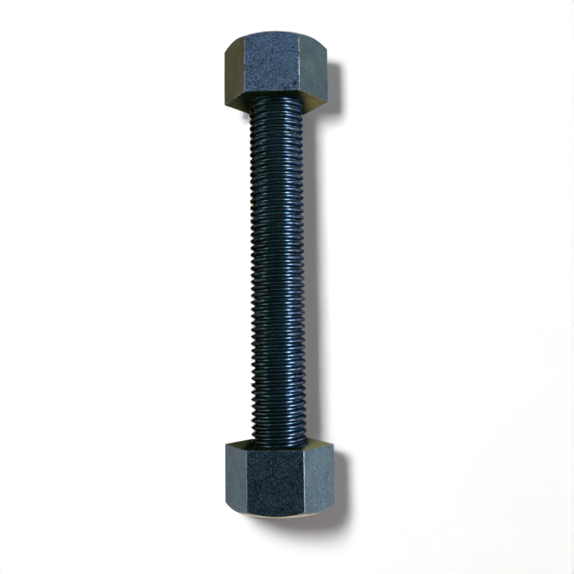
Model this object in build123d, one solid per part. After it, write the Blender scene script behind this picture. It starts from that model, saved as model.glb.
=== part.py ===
# A fully threaded M24 stud with a heavy hexagon nut run on at each end.
# Frame: Y along the stud, +Z up, origin at the middle of the stud's axis. It lies on one flat of
# each nut. Lengths are in millimetres and angles in degrees.
#
# The stud's thread is a real right-hand helix, drawn with flat facets from each crest to the roots
# beside it. The thread in the nuts is fine detail that is cut in the finished surface.
from build123d import *
from math import ceil, cos, radians, sin, tan
import os

# nuts
across_flats = 41.0
nut_height = 27.0
grip_length = 151.0  # free length between the two bearing faces
corner_chamfer = 4.3  # how far the outer chamfer comes in from each corner
chamfer_angle = 30.0  # from the end face down to the chamfer's cone
countersink_width = 0.85
countersink_angle = 30.0  # from the face down to the countersink's cone

# stud
thread_diameter = 24.0
thread_pitch = 3.0
thread_depth = 1.84
thread_start = 2.13  # height of a crest over the X side, from the middle of the stud
facets_per_turn = 24
tip_standout = 1.0  # past the outer face of each nut
tip_relief = 0.1  # how far the tips' chamfers run below the thread's root
stud_length = grip_length + 2 * (nut_height + tip_standout)

# fit of a nut over the thread's crests, on the radius
thread_clearance = 0.1

on_base = (Align.CENTER, Align.CENTER, Align.MIN)


def thread_corners(column):
    """The stud's corners at one column of facets, from its lower end face to its upper one."""
    end = stud_length / 2
    tip = thread_diameter / 2 - thread_depth - tip_relief
    lift = thread_start + thread_pitch * column / facets_per_turn
    reach = ceil(stud_length / thread_pitch) + 2
    corners = [(-end, tip), (end, tip)]
    for half_turn in range(-reach, reach):  # even ones are crests, odd ones are roots
        height = lift + thread_pitch * half_turn / 2
        room = end - abs(height)
        if room > thread_pitch / 8:
            radius = thread_diameter / 2 - thread_depth * (half_turn % 2)
            corners.append((height, min(radius, tip + room)))
    angle = radians(360 * column / facets_per_turn)
    return [Vector(r * cos(angle), r * sin(angle), h) for h, r in sorted(corners)]


def threaded_stud():
    """The stud about Z: a facet joins each corner to its two nearest in the next column."""
    columns = [thread_corners(column) for column in range(facets_per_turn)]
    facets = [[column[0] for column in columns[::-1]], [column[-1] for column in columns]]
    for here, there in zip(columns, columns[1:] + columns[:1]):
        i = j = 0
        while i + j < len(here) + len(there) - 2:
            if j + 1 == len(there) or (i + 1 < len(here) and here[i + 1].Z <= there[j + 1].Z):
                facets.append([here[i], there[j], here[i + 1]])
                i += 1
            else:
                facets.append([here[i], there[j], there[j + 1]])
                j += 1
    return Solid(Shell([Face(Wire.make_polygon(corners)) for corners in facets]))


def cone_ring(outside, width, angle):
    """A cone standing at Z 0 on its wide end, which narrows by the width at the angle to that end."""
    return Cone(outside, outside - width, width * tan(radians(angle)), align=on_base)


def heavy_nut():
    """A nut about Z, its bearing face at Z 0 and its chamfered end at the top."""
    corner = across_flats / 2 / cos(radians(30))
    prism = extrude(RegularPolygon(corner, 6), nut_height)

    # the chamfer takes the corners off the outer end and leaves an arc on each flat
    top = cone_ring(corner, corner_chamfer, chamfer_angle)
    shoulder = nut_height - top.bounding_box().size.Z
    envelope = Cylinder(corner, shoulder, align=on_base) + Pos(0, 0, shoulder) * top

    bore = thread_diameter / 2 + thread_clearance
    countersink = cone_ring(bore + countersink_width, countersink_width, countersink_angle)
    hole = Cylinder(bore, nut_height, align=on_base) + countersink
    hole += Pos(0, 0, nut_height) * mirror(countersink, Plane.XY)
    return (prism & envelope) - hole


def main():
    os.makedirs("parts", exist_ok=True)
    along_stud = Rot(X=-90)
    upper_nut = Pos(0, grip_length / 2, 0) * along_stud * heavy_nut()

    export_step(along_stud * threaded_stud(), "parts/stud.step")
    export_step(upper_nut, "parts/upper_nut.step")
    export_step(Rot(Z=180) * upper_nut, "parts/lower_nut.step")


main()
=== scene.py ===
import bpy, bmesh
from math import cos, pi, radians, sin, sqrt, tan
from mathutils import Matrix, Vector


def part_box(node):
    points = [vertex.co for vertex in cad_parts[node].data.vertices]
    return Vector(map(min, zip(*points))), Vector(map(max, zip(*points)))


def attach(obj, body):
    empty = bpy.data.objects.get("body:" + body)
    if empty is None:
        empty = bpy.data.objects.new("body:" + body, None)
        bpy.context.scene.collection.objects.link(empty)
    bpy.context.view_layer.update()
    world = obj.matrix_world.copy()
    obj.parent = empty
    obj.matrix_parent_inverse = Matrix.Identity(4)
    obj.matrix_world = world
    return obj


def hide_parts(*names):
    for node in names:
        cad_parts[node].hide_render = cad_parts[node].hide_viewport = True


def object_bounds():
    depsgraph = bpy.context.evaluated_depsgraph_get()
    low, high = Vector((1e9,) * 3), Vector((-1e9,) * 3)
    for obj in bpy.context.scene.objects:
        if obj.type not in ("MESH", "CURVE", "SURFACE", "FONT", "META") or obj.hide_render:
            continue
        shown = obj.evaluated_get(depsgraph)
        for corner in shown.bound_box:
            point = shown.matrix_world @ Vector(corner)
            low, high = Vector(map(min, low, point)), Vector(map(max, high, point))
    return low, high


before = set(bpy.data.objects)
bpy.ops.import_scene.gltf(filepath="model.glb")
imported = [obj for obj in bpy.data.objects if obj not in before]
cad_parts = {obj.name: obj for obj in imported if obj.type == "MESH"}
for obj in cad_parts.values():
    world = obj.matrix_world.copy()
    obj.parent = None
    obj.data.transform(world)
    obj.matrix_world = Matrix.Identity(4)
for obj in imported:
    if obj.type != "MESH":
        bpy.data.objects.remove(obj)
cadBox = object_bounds()
print("frame loaded")

# shapes are in metres and finishes in mm; the stud lies along Y, with a nut near each end
studLow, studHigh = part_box("stud")
upperLow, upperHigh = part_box("upper_nut")
lowerLow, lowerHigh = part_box("lower_nut")
floorHeight = cadBox[0].z
inMm = 1000.0


# a socket that sums can be written with
class Wire:
    def __init__(self, graph, socket):
        self.graph, self.socket = graph, socket

    def __add__(self, other): return self.graph.math("ADD", self, other)
    def __radd__(self, other): return self.graph.math("ADD", other, self)
    def __sub__(self, other): return self.graph.math("SUBTRACT", self, other)
    def __rsub__(self, other): return self.graph.math("SUBTRACT", other, self)
    def __mul__(self, other): return self.graph.math("MULTIPLY", self, other)
    def __rmul__(self, other): return self.graph.math("MULTIPLY", other, self)
    def __truediv__(self, other): return self.graph.math("DIVIDE", self, other)
    def __rtruediv__(self, other): return self.graph.math("DIVIDE", other, self)
    def __pow__(self, other): return self.graph.math("POWER", self, other)
    def __rpow__(self, other): return self.graph.math("POWER", other, self)
    def __abs__(self): return self.graph.math("ABSOLUTE", self)
    def least(self, other): return self.graph.math("MINIMUM", self, other)
    def most(self, other): return self.graph.math("MAXIMUM", self, other)


# one node tree, and the nodes that are put in it
class Graph:
    def __init__(self, tree):
        self.tree = tree
        for old in list(tree.nodes):
            tree.nodes.remove(old)

    # a list of values goes into one socket that takes several links
    def node(self, kind, settings=None, sockets=None, out=0):
        made = self.tree.nodes.new(kind)
        for name, value in (settings or {}).items():
            setattr(made, name, value)
        for name, value in (sockets or {}).items():
            socket = made.inputs[name]
            for part in value if isinstance(value, list) else [value]:
                if isinstance(part, Wire):
                    self.tree.links.new(part.socket, socket)
                else:
                    socket.default_value = part
        return Wire(self, made.outputs[out]) if len(made.outputs) else made

    def math(self, operation, *values):
        return self.node("ShaderNodeMath", {"operation": operation}, dict(enumerate(values)))

    # 0 at low, 1 at high, with an eased run between them
    def ease(self, value, low, high):
        return self.node("ShaderNodeMapRange", {"interpolation_type": "SMOOTHSTEP"},
                         {"Value": value, "From Min": low, "From Max": high})

    # 0 further than the first distance short of the edge, 1 nearer than the second
    def near(self, value, edge, distances):
        return self.ease(value, edge - distances[0], edge - distances[1])

    def mix(self, factor, first, second):
        return self.node("ShaderNodeMix", {"data_type": "RGBA"},
                         {0: factor, 6: first, 7: second}, out=2)

    def tint(self, colour, amount):
        grey = self.node("ShaderNodeCombineXYZ", {}, {0: amount, 1: amount, 2: amount})
        return self.node("ShaderNodeVectorMath", {"operation": "MULTIPLY"}, {0: colour, 1: grey})

    def noise(self, place, size, detail, roughness=0.5):
        return self.node("ShaderNodeTexNoise", {}, {"Vector": place, "Scale": 1 / size,
                         "Detail": detail, "Roughness": roughness})


# a colour in steps of 255, as the linear values that the nodes take
def srgb(red, green, blue):
    return tuple((c / 255 / 12.92 if c <= 10 else ((c / 255 + 0.055) / 1.055) ** 2.4)
                 for c in (red, green, blue)) + (1.0,)


camera = {
    "place": (0.029517, -0.026823, 0.359821),
    "turn": (6.164, 4.065, -0.605),  # degrees
    "lens": 51.20,
    "sensor": 36,
    "rise": -0.0784,
    "nearest": 0.01,
    "furthest": 20,
}


def makeCamera():
    data = bpy.data.cameras.new("camera")
    data.lens, data.sensor_width, data.shift_y = camera["lens"], camera["sensor"], camera["rise"]
    data.clip_start, data.clip_end = camera["nearest"], camera["furthest"]
    eye = bpy.data.objects.new("camera", data)
    eye.location = camera["place"]
    eye.rotation_euler = [radians(angle) for angle in camera["turn"]]
    bpy.context.scene.collection.objects.link(eye)
    bpy.context.scene.camera = eye


makeCamera()
print("camera made")


# a screw thread along Y: one tree for the stud's outside and the nuts' inside
def screwThreadTree():
    tree = bpy.data.node_groups.new("screwThread", "GeometryNodeTree")
    inputs = (
        ("Turns", "Int"), ("Segments", "Int"), ("Rows", "Int"), ("Pitch", "Float"),
        ("Phase", "Float"), ("Radius", "Float"), ("Depth", "Float"), ("Crest Width", "Float"),
        ("Crest Rounding", "Float"), ("Root Rounding", "Float"), ("Low", "Float"),
        ("High", "Float"), ("End Radius", "Float"), ("End Slope", "Float"),
        ("Inside", "Bool"), ("Material", "Material"),
    )
    for name, kind in inputs:
        tree.interface.new_socket(name, in_out="INPUT", socket_type="NodeSocket" + kind)
    tree.interface.new_socket("Mesh", in_out="OUTPUT", socket_type="NodeSocketGeometry")
    graph = Graph(tree)
    (turns, segments, rows, pitch, phase, radius, depth, crestWidth, crestRounding, rootRounding,
     low, high, endRadius, endSlope, inside, material) = [
        graph.node("NodeGroupInput", out=name) for name, _ in inputs]

    # a flat strip, one pitch wide and as long as the turns, is wound round the axis
    strip = graph.node("GeometryNodeMeshGrid", {}, {"Size X": turns, "Size Y": 1.0,
                       "Vertices X": turns * segments + 1, "Vertices Y": rows + 1})
    flat = graph.node("GeometryNodeInputPosition")
    around = graph.node("ShaderNodeSeparateXYZ", {}, {0: flat}, out=0)
    across = graph.node("ShaderNodeSeparateXYZ", {}, {0: flat}, out=1)
    middle = graph.math("ROUND", ((low + high) / 2 - phase) / pitch)
    height = ((around + across + middle) * pitch + phase).most(low).least(high)
    fromEnd = (height - low).least(high - height)

    # flanks at 30 degrees, with a domed crest and a rounded root
    flank = (abs(across) - crestWidth / 2) * pitch * sqrt(3)
    flank = graph.math("SMOOTH_MAX", flank, 0.0, crestRounding)
    drop = graph.math("SMOOTH_MIN", flank, depth, rootRounding)

    # the end's cone cuts a stud's thread down and opens a nut's out
    side = 1 - 2 * inside
    wall = side * (side * (radius - drop)).least(side * (endRadius + side * endSlope * fromEnd))
    turn = around * (2 * pi)
    wound = graph.node("ShaderNodeCombineXYZ", {}, {0: wall * graph.math("SINE", turn), 1: height,
                       2: wall * graph.math("COSINE", turn)})
    skin = graph.node("GeometryNodeSetPosition", {}, {"Geometry": strip, "Position": wound})
    skin = graph.node("GeometryNodeSetShadeSmooth", {}, {"Geometry": skin, "Shade Smooth": True})
    skin = graph.node("GeometryNodeFlipFaces", {}, {"Mesh": skin, "Selection": inside})

    # flat end faces, for a stud only
    disc = graph.node("GeometryNodeMeshCircle", {"fill_type": "NGON"},
                      {"Vertices": segments, "Radius": endRadius})
    disc = graph.node("GeometryNodeSetShadeSmooth", {}, {"Geometry": disc, "Shade Smooth": False})
    shells = [skin]
    for place, tilt in ((high, -pi / 2), (low, pi / 2)):
        where = graph.node("ShaderNodeCombineXYZ", {}, {1: place})
        end = graph.node("GeometryNodeTransform", {}, {"Geometry": disc, "Translation": where,
                         "Rotation": (tilt, 0.0, 0.0)})
        shells.append(graph.node("GeometryNodeSwitch", {"input_type": "GEOMETRY"},
                                 {"Switch": inside, "False": end}))
    whole = graph.node("GeometryNodeJoinGeometry", {}, {0: shells})
    whole = graph.node("GeometryNodeMergeByDistance", {}, {"Geometry": whole, "Distance": 0.00001})
    whole = graph.node("GeometryNodeRealizeInstances", {}, {"Geometry": whole})
    whole = graph.node("GeometryNodeSetMaterial", {}, {"Geometry": whole, "Material": material})
    graph.node("NodeGroupOutput", {}, {0: whole})
    return tree


# the piece's modifiers are made into its plain mesh, which has one finish
def settleMesh(piece):
    bpy.context.view_layer.update()
    depsgraph = bpy.context.evaluated_depsgraph_get()
    mesh = bpy.data.meshes.new_from_object(piece.evaluated_get(depsgraph),
                                           preserve_all_data_layers=True, depsgraph=depsgraph)
    piece.modifiers.clear()
    piece.data = mesh
    finish = mesh.materials[-1]
    mesh.materials.clear()
    mesh.materials.append(finish)
    mesh.polygons.foreach_set("material_index", [0] * len(mesh.polygons))
    return piece


def screwThread(name, tree, values):
    piece = bpy.data.objects.new(name, bpy.data.meshes.new(name))
    bpy.context.scene.collection.objects.link(piece)
    modifier = piece.modifiers.new("screwThread", "NODES")
    modifier.node_group = tree
    for item in tree.interface.items_tree:
        if item.in_out == "INPUT":
            modifier[item.identifier] = values[item.name]
    return settleMesh(piece)


# a steel finish, whose lengths are in mm
class Finish(Graph):
    def __init__(self, name):
        self.material = bpy.data.materials.new(name)
        self.material.use_nodes = True
        super().__init__(self.material.node_tree)
        metres = self.node("ShaderNodeTexCoord", out="Object")
        self.place = self.node("ShaderNodeVectorMath", {"operation": "SCALE"},
                               {0: metres, "Scale": inMm})
        self.x, self.y, self.z = [self.node("ShaderNodeSeparateXYZ", {}, {0: self.place}, out=i)
                                  for i in range(3)]
        self.radius = (self.x * self.x + self.z * self.z) ** 0.5

    # the place, stretched by three factors
    def stretched(self, x, y, z):
        return self.node("ShaderNodeVectorMath", {"operation": "MULTIPLY"},
                         {0: self.place, 1: (x, y, z)})

    # 1 in the middle of a round patch, easing to 0 at its size
    def patch(self, centre, size):
        away = self.node("ShaderNodeVectorMath", {"operation": "DISTANCE"},
                         {0: self.place, 1: centre}, out="Value")
        return self.ease(away, size, size * 0.4)

    # fine rings round the axis, as a lathe tool leaves them
    def turnedRings(self):
        outward = self.node("ShaderNodeCombineXYZ", {}, {0: self.radius})
        return self.noise(outward, size=0.35, detail=2.0)

    def bump(self, height, distance):
        return self.node("ShaderNodeBump", {},
                         {"Height": height, "Distance": distance, "Strength": 1.0})

    def principled(self, sockets):
        return self.node("ShaderNodeBsdfPrincipled", {}, sockets)

    # the dark oxide is a metal with a weak sheen at its edges
    def oxide(self, colour, roughness, normal, coat):
        return self.principled({"Base Color": colour, "Roughness": roughness, "Normal": normal,
                                "Metallic": 1.0, "Specular Tint": (0.3, 0.3, 0.28, 1.0), **coat})

    def done(self, shader):
        self.node("ShaderNodeOutputMaterial", {}, {"Surface": shader})
        return self.material


stud = {
    "pitch": 0.003,
    "phase": 0.00138,  # how far up the stud a crest is on its top side
    "depth": 0.00184,
    "crestWidth": 0.25,  # of the pitch
    "crestRounding": 0.0008,
    "rootRounding": 0.0004,
    "tipDrop": 0.00194,
    "tipSlope": 1.0,
    "segments": 72,
    "rows": 16,
    "spareTurns": 2,  # cut off at the ends
    # its finish; the flanks and roots are paler than the crests, as painted light in the grooves
    # and on the roots' highlights
    "crest": srgb(38, 58, 62), "flank": srgb(64, 104, 111), "root": srgb(92, 118, 120),
    # blue is the colour of a painted reflection on the +X side, olive of a painted dark reflection
    # along the -X edge
    "blue": srgb(38, 68, 116), "olive": srgb(44, 42, 26), "bright": srgb(150, 160, 170),
    "end": srgb(66, 76, 84),
    # how far below the crests, in mm, each change starts and is complete
    "crestToFlank": (0.10, 0.45), "flankToRoot": (1.2, 1.6), "tip": (1.95, 2.05),
    "blueBelow": (0.15, 0.5), "blueAbove": (1.6, 1.4), "wornAbove": (0.2, 0.05),
    "oilAndSheenAbove": (0.5, 0.25), "oilAndSheenBelow": (1.4, 1.55),
    # how far towards +X, in mm, each change starts and is complete
    "blueSide": (0.0, 8.0), "darkSide": (-1.5, -6.0), "oliveSide": (-7.0, -10.0),
    "oilAndSheenSide": (0.0, 4.0), "oilAndSheenStreak": (-2.0, -5.0), "oilAndSheenStreakEnd": (-10.5, -8.0),
    "oilAndSheenHeight": (3.0, 7.0),  # this one towards +Z
    # strengths
    "broadMottle": 0.9, "cloudMottle": 0.6, "grainMottle": 0.5,
    "paintedBlueReflection": 0.35, "flankPaintedBlueReflection": 0.4, "darkening": 0.55, "oilAndSheenInStreak": 0.25,
    "wornLevel": (0.62, 0.70), "wear": 0.8,
    "roughness": 0.30, "roughMottle": 0.16,
    "bumpHeight": 0.00003,
    "oilAndSheen": {"Coat Roughness": 0.09, "Coat IOR": 1.45},
}


def studFinish(name):
    f = Finish(name)
    depth = studHigh.x * inMm - f.radius
    broad = f.noise(f.stretched(1.0, 0.6, 1.0), size=9.0, detail=2.0)
    cloud = f.noise(f.place, size=1.8, detail=2.0)
    grain = f.noise(f.place, size=0.4, detail=1.0)
    rings = f.turnedRings()
    onEnd = f.ease(depth, *stud["tip"])

    # a colour each for crest, flank and root; a painted blue reflection on the +X side, and painted
    # shade and a painted dark olive reflection towards -X
    # the paler flanks and roots are painted light in the grooves
    colour = f.mix(f.ease(depth, *stud["crestToFlank"]), stud["crest"], stud["flank"])
    colour = f.mix(f.ease(depth, *stud["flankToRoot"]), colour, stud["root"])
    # a painted blue reflection beside the highlights on the +X side, strongest on the flanks
    onFlank = f.ease(depth, *stud["blueBelow"]) * f.ease(depth, *stud["blueAbove"])
    blueSide = f.ease(f.x + (broad - 0.5) * 4.0, *stud["blueSide"])
    paintedBlueReflection = blueSide * (stud["paintedBlueReflection"] + onFlank * stud["flankPaintedBlueReflection"])
    colour = f.mix(paintedBlueReflection, colour, stud["blue"])
    mottle = 1.0 + (broad - 0.5) * stud["broadMottle"] + (cloud - 0.5) * stud["cloudMottle"]
    colour = f.tint(colour, mottle + (grain - 0.5) * stud["grainMottle"])
    # painted shade towards -X
    colour = f.tint(colour, 1.0 - stud["darkening"] * f.ease(f.x, *stud["darkSide"]))
    # a painted dark olive reflection along the -X edge
    oliveSide = f.ease(f.x + (cloud - 0.5) * 3.0, *stud["oliveSide"])
    colour = f.mix(oliveSide, colour, stud["olive"])

    # crests are worn bright in places, and the flat ends show turned rings
    broken = f.ease(cloud * 0.5 + grain * 0.5, *stud["wornLevel"])
    worn = broken * f.ease(depth, *stud["wornAbove"])
    colour = f.mix(worn * stud["wear"], colour, stud["bright"])
    end = f.tint(stud["end"][:3], 0.7 + rings * 0.5 + (cloud - 0.5) * 0.4)
    colour = f.mix(onEnd, colour, end)
    rough = stud["roughness"] + stud["roughMottle"] * (cloud - 0.5)
    normal = f.bump(cloud * 0.4 + grain * 0.15 + rings * onEnd * 0.6, stud["bumpHeight"])

    # a film of oil, laid only on the upper side and where the soft boxes' highlights fall: oil and
    # a painted highlight
    # a weaker streak towards -X, where the other highlight falls: a painted highlight as well as
    # oil
    leftOilAndSheen = stud["oilAndSheenInStreak"] * f.ease(f.x, *stud["oilAndSheenStreak"])
    oilAndSheen = f.ease(f.x, *stud["oilAndSheenSide"]) + leftOilAndSheen * f.ease(f.x, *stud["oilAndSheenStreakEnd"])
    oilAndSheen = oilAndSheen * f.ease(f.z + (broad - 0.5) * 2.0, *stud["oilAndSheenHeight"])
    onCrestOrRoot = f.ease(depth, *stud["oilAndSheenAbove"]).most(f.ease(depth, *stud["oilAndSheenBelow"]))
    coat = {"Coat Weight": oilAndSheen * onCrestOrRoot * (1 - onEnd), **stud["oilAndSheen"]}
    return f.done(f.oxide(colour, rough, normal, coat))


# what the stud's thread and the nuts' have in common
threadForm = {
    "Pitch": stud["pitch"], "Phase": stud["phase"], "Crest Width": stud["crestWidth"],
    "Crest Rounding": stud["crestRounding"], "Root Rounding": stud["rootRounding"],
}


def turnsOver(length):
    return round(length / stud["pitch"]) + stud["spareTurns"]


def makeStud(name, tree, material):
    return screwThread(name, tree, {
        **threadForm, "Turns": turnsOver(studHigh.y - studLow.y), "Segments": stud["segments"],
        "Rows": stud["rows"], "Radius": studHigh.x, "Depth": stud["depth"],
        "Low": studLow.y, "High": studHigh.y, "End Radius": studHigh.x - stud["tipDrop"],
        "End Slope": stud["tipSlope"], "Inside": False, "Material": material,
    })


nut = {
    "acrossFlats": upperHigh.z - upperLow.z,
    "height": upperHigh.y - upperLow.y,
    "cornerChamfer": 0.0043,
    "chamferAngle": radians(30),
    "boreRadius": 0.0121,
    "mouthWidth": 0.00085,
    "countersinkAngle": radians(30),
    "threadDepth": 0.00162,
    "segments": 96,  # a multiple of 12, so that the corners fall on the rings
    "rows": 16,
    "cornerRounding": 0.00042,
    "edgeRounding": 0.4,  # of the corners' rounding
    "roundingSteps": 3,
    "mergeDistance": 0.00002,
    # how far from its edge, in mm, each change starts and is complete
    "chamfer": (0.16, 0.06), "chamferRing": (2.5, 1.5), "endFace": (0.15, 0.05),
    "flat": (1.5, 0.5), "bearingFace": (0.25, 0.05), "mouthDepth": (2.0, 1.6),
    "wornCorner": (0.5, 0.2), "wornCornerReach": (1.5, 0.8),
    "wornRim": (0.3, 0.1), "wornArc": (0.35, 0.1), "wornEdgeReach": (0.6, 0.3),
    # how far from the axis the bearing mouth's finish starts and is complete
    "mouthRadius": (13.3, 13.1),
    # levels of the noises between which each change runs
    "sparkleLevel": (0.52, 0.68), "pitLevel": (0.57, 0.72), "brokenLevel": (0.43, 0.58),
    "tarnishLevel": (0.52, 0.66),
    # strengths
    "sparkle": 0.8, "pits": 0.4, "speckle": 1.2, "plainGrain": 0.3,
    "broadMottle": 0.9, "cloudMottle": 0.5, "frontCloudMottle": 0.7,
    "edgeWear": 0.6, "wear": 0.9,
    "roughMottle": 0.12, "roughSparkle": 0.10, "wornPolish": 0.06,
    "bumpHeight": 0.00005,
    # tarnish over the flats: its colour, its strength, and how much less there is in front
    "oliveTarnish": (srgb(96, 100, 78), 0.22, 0.14),
    "violetTarnish": (srgb(88, 86, 108), 0.3, 0.18),
    # the bearing face's change of colour towards +X, a painted light and shade, and where its dark
    # middle, a painted shade, lies, in mm
    "bearingSides": (-2.0, 6.0), "darkStart": 11.5, "darkShift": 1.2,
    # marks on the front flats: place along X and Y and radius in mm, how dark or bright
    "marks": (
        (9.9, 78.6, 1.3, -0.75), (8.1, 77.2, 0.6, 1.2), (4.9, -75.4, 0.7, 2.5),
        (-4.2, 88.0, 0.6, -0.6), (3.0, 82.4, 0.6, -0.5), (-7.6, -80.0, 0.5, 1.0),
    ),
    # each nut's front, left and right flats have colours of their own: lit and shaded copies of one
    # oxide, painted light and shade
    "upper": {
        "front": srgb(73, 93, 115), "left": srgb(92, 91, 75), "right": srgb(82, 98, 102),
        "other": srgb(72, 88, 104), "rim": srgb(158, 162, 170),
        # the chamfer's colours are a painted reflection, pale at its outer ring
        "cone": srgb(150, 152, 150), "coneDark": srgb(66, 76, 86),
        "bearingLeft": srgb(78, 78, 53), "bearingRight": srgb(165, 153, 99),
        "bearingMiddle": srgb(22, 38, 22), "bearingReach": 18.0,
        "grain": 1.9, "leftGrain": 0.3, "rightGrain": 0.7, "roughness": 0.38,
    },
    "lower": {
        "front": srgb(54, 74, 87), "left": srgb(99, 110, 119), "right": srgb(97, 114, 125),
        "other": srgb(72, 88, 102), "rim": srgb(106, 114, 124),
        # the chamfer's colours are a painted cream reflection, pale at its outer ring
        "cone": srgb(186, 172, 140), "coneDark": srgb(66, 64, 46),
        "bearingLeft": srgb(54, 58, 40), "bearingRight": srgb(130, 128, 94),
        "bearingMiddle": srgb(14, 26, 16), "bearingReach": 14.0,
        "grain": 2.3, "leftGrain": 1.1, "rightGrain": 0.9, "roughness": 0.38,
    },
}
endRadius = nut["acrossFlats"] / sqrt(3) - nut["cornerChamfer"]
mouthRadius = nut["boreRadius"] + nut["mouthWidth"]


def nutFinish(name, look):
    f = Finish(name)
    # the flat that a point is on, and its place along that flat
    angle = f.math("ARCTAN2", f.x, f.z)
    flat = f.math("ROUND", angle / radians(60))
    turned = angle - flat * radians(60)
    along = f.radius * f.math("SINE", turned)
    out = f.radius * f.math("COSINE", turned)
    half = nut["acrossFlats"] / 2 * inMm
    corner = half * tan(radians(30))
    tall = nut["height"] * inMm
    height = abs(f.y) - upperLow.y * inMm
    beyondEnd = f.radius - endRadius * inMm
    fromArc = (tall - height) - beyondEnd * tan(nut["chamferAngle"])

    broad = f.noise(f.place, size=7.0, detail=2.0)
    cloud = f.noise(f.place, size=2.4, detail=3.0, roughness=0.6)
    grain = f.noise(f.place, size=0.6, detail=1.0)
    pits = f.noise(f.stretched(1.0, 1.0, -1.0), size=0.8, detail=1.0)
    fine = f.noise(f.place, size=0.28, detail=1.0)
    violet = f.noise(f.stretched(1.0, 0.7, -1.0), size=4.0, detail=2.0)
    rings = f.turnedRings()

    # the end face and the chamfer carry turned rings, the flats a colour each: painted light and
    # shade, as each flat faces the light differently
    cone = f.ease(fromArc, *nut["chamfer"])
    onEnd = cone.most(f.near(height, tall, nut["endFace"]))
    colour = f.tint(look["other"][:3], 0.8 + rings * 0.4)
    outside = f.near(out, half, nut["flat"]) * (1 - onEnd)
    onLeft, onFront, onRight = [f.math("COMPARE", flat, place, 0.5) * outside
                                for place in (-1.0, 0.0, 1.0)]
    for here, side in ((onLeft, "left"), (onFront, "front"), (onRight, "right")):
        colour = f.mix(here, colour, look[side])

    # speckled, pitted and clouded, the front flats most of all
    sparkle = f.ease(grain, *nut["sparkleLevel"]) * nut["sparkle"]
    sparkle = sparkle - f.ease(pits, *nut["pitLevel"]) * nut["pits"]
    sparkle = sparkle + (fine - 0.5) * nut["speckle"]
    plain = nut["plainGrain"]
    coarse = plain + onLeft * (look["leftGrain"] - plain) + onFront * (look["grain"] - plain)
    coarse = coarse + onRight * (look["rightGrain"] - plain)
    clouded = nut["cloudMottle"] + onFront * nut["frontCloudMottle"]
    shade = 1.0 + sparkle * coarse + (broad - 0.5) * nut["broadMottle"] + (cloud - 0.5) * clouded
    for x, y, size, strength in nut["marks"]:
        shade = shade * (1.0 + f.patch((x, y, half), size) * strength)
    colour = f.tint(colour, shade)
    for spots, kind in ((broad, "oliveTarnish"), (violet, "violetTarnish")):
        tarnish, strength, lessInFront = nut[kind]
        strength = f.ease(spots, *nut["tarnishLevel"]) * (strength - onFront * lessInFront)
        colour = f.mix(strength, colour, tarnish)

    # the bearing face is a matt olive, with painted light and shade across it, darker on one side,
    # and a painted shade close to the stud
    mouth = f.ease(height, *nut["mouthDepth"]) * f.ease(f.radius, *nut["mouthRadius"])
    bearing = f.ease(height, *nut["bearingFace"]).most(mouth)
    toRight = f.ease(f.x, *nut["bearingSides"])
    olive = f.mix(toRight, look["bearingLeft"], look["bearingRight"])
    # painted shade close to the stud
    fromStud = abs(f.x + nut["darkShift"]) + (cloud - 0.5) * 2.0
    clear = f.ease(fromStud, nut["darkStart"], look["bearingReach"])
    olive = f.mix(clear, look["bearingMiddle"], olive)
    olive = f.tint(olive, 1.0 + (cloud - 0.5) * 0.8 + (grain - 0.5) * 0.6)

    # worn corners and edges
    atCorner = f.near(abs(along), corner, nut["wornCorner"])
    atCorner = atCorner * f.near(out, half, nut["wornCornerReach"])
    atEdge = f.near(out, half, nut["wornEdgeReach"])
    atRim = f.ease(height, *nut["wornRim"]) * atEdge * nut["edgeWear"]
    atArc = f.ease(fromArc, *nut["wornArc"]) * (1 - cone) * atEdge * nut["edgeWear"]
    broken = f.ease(cloud * 0.65 + grain * 0.35, *nut["brokenLevel"])
    wear = atCorner.most(atRim).most(atArc) * broken
    colour = f.mix(wear * nut["wear"], colour, look["rim"])
    olive = f.mix(wear * nut["wear"], olive, look["rim"])

    rough = look["roughness"] + nut["roughMottle"] * (cloud - 0.5)
    rough = rough + nut["roughSparkle"] * sparkle - nut["wornPolish"] * wear
    normal = f.bump(broad * 1.2 + cloud * 0.3 + grain * 0.09 + rings * onEnd * 0.3,
                    nut["bumpHeight"])
    dark = f.oxide(colour, rough, normal, {})
    # the chamfer is a metal whose colour runs from coneDark to the paler cone towards its outer
    # ring: a painted reflection
    atRing = f.ease(beyondEnd, *nut["chamferRing"])
    chamferPaintedReflection = f.principled({"Base Color": f.mix(atRing, look["coneDark"], look["cone"]),
                         "Roughness": 0.3, "Metallic": 1.0})
    matt = f.principled({"Base Color": olive, "Roughness": 0.5, "Specular IOR Level": 0.0})
    sides = f.node("ShaderNodeMixShader", {}, {0: bearing, 1: dark, 2: matt})
    return f.done(f.node("ShaderNodeMixShader", {}, {0: cone, 1: sides, 2: chamferPaintedReflection}))


# the nut's outside: rings of points from the bearing mouth round to the outer mouth
def nutShell(bm, bearingAt, outward):
    count = nut["segments"]
    slope = tan(nut["chamferAngle"])
    tall = nut["height"]

    def ring(radiusAt, heightAt):
        points = []
        for step in range(count):
            angle = 2 * pi * step / count
            radius = radiusAt(angle)
            height = bearingAt + outward * heightAt(radius)
            points.append(bm.verts.new((radius * sin(angle), height, radius * cos(angle))))
        return points

    def hexagon(angle):
        return nut["acrossFlats"] / 2 / cos((angle + pi / 6) % (pi / 3) - pi / 6)

    rings = [
        ring(lambda angle: mouthRadius, lambda radius: 0),
        ring(hexagon, lambda radius: 0),
        ring(hexagon, lambda radius: tall - (radius - endRadius) * slope),
        ring(lambda angle: endRadius, lambda radius: tall),
        ring(lambda angle: mouthRadius, lambda radius: tall),
    ]
    for inner, outer in zip(rings, rings[1:]):
        for step in range(count):
            after = (step + 1) % count
            corners = [inner[step], inner[after], outer[after], outer[step]]
            bm.faces.new(corners if outward > 0 else corners[::-1])
    return rings


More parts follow.
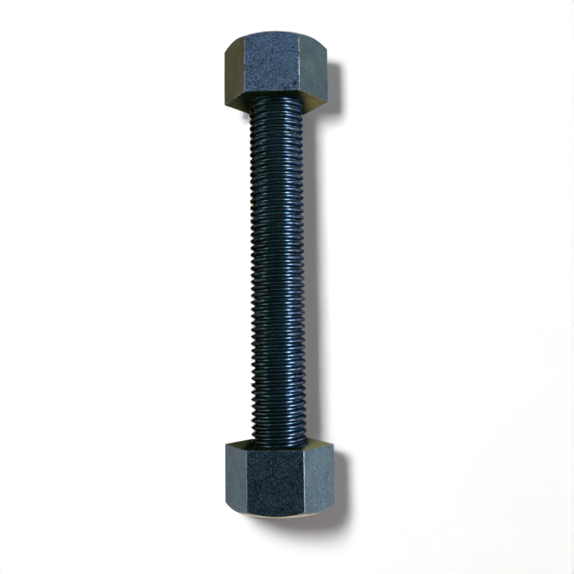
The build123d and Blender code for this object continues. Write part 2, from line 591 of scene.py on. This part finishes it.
# outward is 1 or -1: the way along Y from the bearing face to the outer end
def makeNut(name, tree, bearingAt, outward, material):
    low, high = sorted((bearingAt, bearingAt + outward * nut["height"]))
    piece = screwThread(name, tree, {
        **threadForm, "Turns": turnsOver(nut["height"]), "Segments": nut["segments"],
        "Rows": nut["rows"], "Radius": nut["boreRadius"], "Depth": nut["threadDepth"],
        "Low": low, "High": high, "End Radius": mouthRadius,
        "End Slope": 1 / tan(nut["countersinkAngle"]), "Inside": True, "Material": material,
    })
    bm = bmesh.new()
    bm.from_mesh(piece.data)
    rings = nutShell(bm, bearingAt, outward)

    # the edges to round: both ends of the flats, the end face's edge, and the six corners
    weight = bm.edges.layers.float.new("bevel_weight_edge")
    for loop in rings[1:4]:
        for point, after in zip(loop, loop[1:] + loop[:1]):
            bm.edges.get((point, after))[weight] = nut["edgeRounding"]
    sixth = nut["segments"] // 6
    for step in range(sixth // 2, nut["segments"], sixth):
        bm.edges.get((rings[1][step], rings[2][step]))[weight] = 1.0
    bmesh.ops.remove_doubles(bm, verts=bm.verts, dist=nut["mergeDistance"])
    for face in bm.faces:
        face.smooth = True
    bm.to_mesh(piece.data)
    bm.free()
    bevel = piece.modifiers.new("rounding", "BEVEL")
    bevel.limit_method, bevel.width = "WEIGHT", nut["cornerRounding"]
    bevel.segments, bevel.offset_type = nut["roundingSteps"], "OFFSET"
    bevel.harden_normals, bevel.use_clamp_overlap = True, True
    return settleMesh(piece)


tree = screwThreadTree()
threadedStud = makeStud("stud_threaded", tree, studFinish("oiledBlackSteel"))
print("stud threaded")
upperNut = makeNut("upper_nut_finished", tree, upperLow.y, 1,
                   nutFinish("blueBlackUpper", nut["upper"]))
lowerNut = makeNut("lower_nut_finished", tree, lowerHigh.y, -1,
                   nutFinish("blueBlackLower", nut["lower"]))
print("nuts made")

for piece, body, slot in ((threadedStud, "stud", "stud_steel"),
                          (upperNut, "upper_nut", "nut_steel"),
                          (lowerNut, "lower_nut", "nut_steel")):
    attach(piece, body)
    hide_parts(body)


stage = {
    "floorRadius": 6.0,
    "floorSides": 96,
    "floorGap": 0.00002,  # under the nuts' lowest flats
    "floorColour": (0.9, 0.9, 0.9, 1.0),
    "floorGlow": 0.10,
    "floorGlowColour": (1.0, 0.96, 0.94, 1.0),
    "keyPlace": (-0.166, 0.130, 0.512),
    "keyRadius": 0.075,
    "keyPower": 1.04,
    # soft boxes: degrees from overhead towards +X and +Y, size, brightness and colour
    "cards": (
        ("rightCard", 60, 0, 0.32, 0.36, 41.0, (0.88, 0.94, 1.0)),
        ("topCard", -4, 27, 0.8, 0.4, 1.0, (0.85, 0.92, 1.0)),
        ("leftCard", -60, 0, 0.14, 0.4, 34.0, (0.9, 0.97, 1.0)),
    ),
    "skyLow": (1.0, 1.0, 1.0, 1.0),
    "skyHigh": (0.122, 0.114, 0.110, 1.0),
    "skyRise": (0.02, 0.24),
}


def makeFloor():
    bm = bmesh.new()
    bmesh.ops.create_circle(bm, cap_ends=True, segments=stage["floorSides"],
                            radius=stage["floorRadius"])
    mesh = bpy.data.meshes.new("floor")
    bm.to_mesh(mesh)
    bm.free()
    mesh.transform(Matrix.Translation((0, 0, floorHeight - stage["floorGap"])))
    floor = bpy.data.objects.new("floor", mesh)
    bpy.context.scene.collection.objects.link(floor)
    material = bpy.data.materials.new("paleFloor")
    material.use_nodes = True
    graph = Graph(material.node_tree)
    matt = graph.node("ShaderNodeBsdfDiffuse", {}, {"Color": stage["floorColour"]})
    # the glow is for the eye and for reflections only, so it lights nothing
    direct, inGloss, inGlass = [graph.node("ShaderNodeLightPath", out=name) for name in
                                ("Is Camera Ray", "Is Glossy Ray", "Is Transmission Ray")]
    seen = (direct + inGloss + inGlass).least(1.0)
    glow = graph.node("ShaderNodeEmission", {}, {"Strength": seen * stage["floorGlow"],
                      "Color": stage["floorGlowColour"]})
    both = graph.node("ShaderNodeAddShader", {}, {0: matt, 1: glow})
    graph.node("ShaderNodeOutputMaterial", {}, {"Surface": both})
    mesh.materials.append(material)


def addLamp(name, kind, place, power, colour=(1, 1, 1)):
    data = bpy.data.lights.new(name, kind)
    data.energy, data.color = power, colour
    lamp = bpy.data.objects.new(name, data)
    lamp.location = place
    lamp.visible_camera = False
    bpy.context.scene.collection.objects.link(lamp)
    return lamp


# the key lights the floor evenly: its falloff with distance is taken out
def makeKey():
    lamp = addLamp("key", "POINT", stage["keyPlace"], 1.0)
    lamp.data.shadow_soft_size = stage["keyRadius"]
    lamp.visible_glossy = False
    lamp.data.use_nodes = True
    graph = Graph(lamp.data.node_tree)
    even = graph.node("ShaderNodeLightFalloff", {}, {"Strength": stage["keyPower"]}, out="Constant")
    glow = graph.node("ShaderNodeEmission", {}, {"Strength": even * (4 * pi * pi)})
    graph.node("ShaderNodeOutputLight", {}, {"Surface": glow})


# a card is a soft box a metre away that faces the middle and shows in reflections only
def addCard(name, right, up, width, length, radiance, colour):
    away = Vector((tan(radians(right)), tan(radians(up)), 1.0)).normalized()
    lamp = addLamp(name, "AREA", away, radiance * pi * width * length, colour)
    lamp.data.shape, lamp.data.size, lamp.data.size_y = "RECTANGLE", width, length
    lamp.rotation_mode = "QUATERNION"
    lamp.rotation_quaternion = away.to_track_quat("Z", "Y")
    lamp.visible_diffuse = False


# pale at the horizon and dark overhead, so that upper faces reflect little
def makeWorld():
    world = bpy.data.worlds.new("studio")
    world.use_nodes = True
    bpy.context.scene.world = world
    graph = Graph(world.node_tree)
    direction = graph.node("ShaderNodeTexCoord", out="Generated")
    up = graph.node("ShaderNodeSeparateXYZ", {}, {0: direction}, out=2)
    colour = graph.mix(graph.ease(up, *stage["skyRise"]), stage["skyLow"], stage["skyHigh"])
    sky = graph.node("ShaderNodeBackground", {}, {"Color": colour, "Strength": 1.0})
    graph.node("ShaderNodeOutputWorld", {}, {"Surface": sky})


makeFloor()
makeKey()
for card in stage["cards"]:
    addCard(*card)
makeWorld()
bpy.context.scene.view_settings.view_transform = "Standard"
print("stage made")
